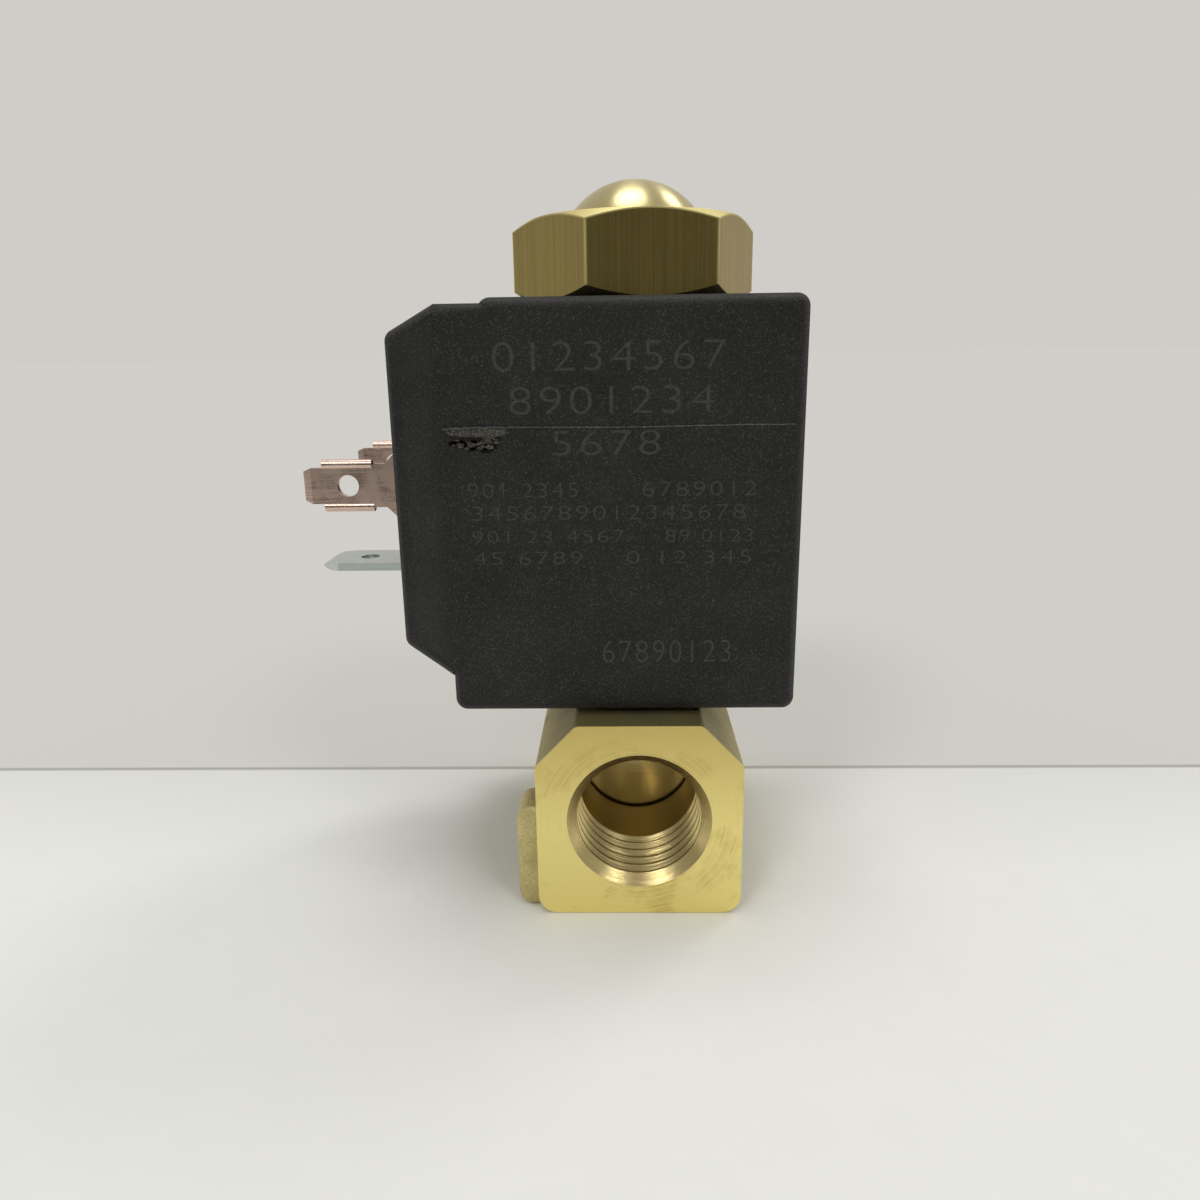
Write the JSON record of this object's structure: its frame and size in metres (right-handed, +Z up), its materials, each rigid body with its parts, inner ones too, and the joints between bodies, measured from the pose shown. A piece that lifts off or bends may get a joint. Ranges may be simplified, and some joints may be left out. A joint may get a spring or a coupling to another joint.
{
  "type": "solenoid valve",
  "caption": "Direct acting solenoid valve: forged brass body with threaded ports in line, black moulded coil with blade terminals, domed cap nut on top.",
  "frame": {"origin": "centre of the body's flat underside, below the armature tube's axis", "axes": "+Z up along the armature tube, +Y from inlet to outlet, -X towards the terminals"},
  "size_m": [0.0462, 0.034, 0.0667],
  "materials": {
    "forged_brass": "shot blasted forging with machined port faces",
    "drawn_brass": "drawn hexagon bar, dome turned bright",
    "turned_brass": "turned",
    "nitrile_rubber": "moulded",
    "seal_rubber": "moulded fluoro rubber",
    "stainless_tube": "drawn",
    "magnetic_stainless": "turned",
    "spring_steel": "drawn spring wire",
    "copper": "enamelled copper",
    "black_moulding": "glass filled moulding, matt",
    "yoke_steel": "zinc plated strip",
    "natural_nylon": "moulded",
    "yellow_tape": "polyester tape",
    "tinned_brass": "tin plated, stamped",
    "plated_steel": "zinc plated, stamped",
    "rivet_steel": "headed"
  },
  "bodies": {
    "valve": {"valve_body": "forged_brass", "tube_base_nut": "turned_brass", "body_o_ring": "nitrile_rubber", "armature_tube": "stainless_tube", "fixed_core": "magnetic_stainless", "shading_ring": "copper", "return_spring": "spring_steel", "coil_gasket": "nitrile_rubber", "cap_nut": "drawn_brass", "spring_washer": "spring_steel", "nut_o_ring": "nitrile_rubber"},
    "plunger": {"plunger": "magnetic_stainless", "plunger_seal": "seal_rubber"},
    "coil": {"coil_overmould": "black_moulding", "yoke_frame": "yoke_steel", "lower_pole_sleeve": "yoke_steel", "upper_pole_sleeve": "yoke_steel", "bobbin": "natural_nylon", "winding": "copper", "winding_tape": "yellow_tape", "line_terminal_front": "tinned_brass", "line_terminal_rear": "tinned_brass", "earth_terminal": "plated_steel", "earth_rivet": "rivet_steel", "lead_wire_front": "copper", "lead_wire_rear": "copper", "plug_insert": "turned_brass"}
  },
  "joints": [
    {"name": "plunger_slide", "type": "slide", "parent": "valve", "child": "plunger", "axis": [0, 0, 1], "range_m": [0, 0.0014], "stiffness_N_per_m": 300, "springref_m": -0.009, "deforming": ["return_spring"]},
    {"name": "coil_swivel", "type": "hinge", "parent": "valve", "child": "coil", "pos_m": [0, 0, 0.04], "axis": [0, 0, 1], "continuous": true}
  ]
}
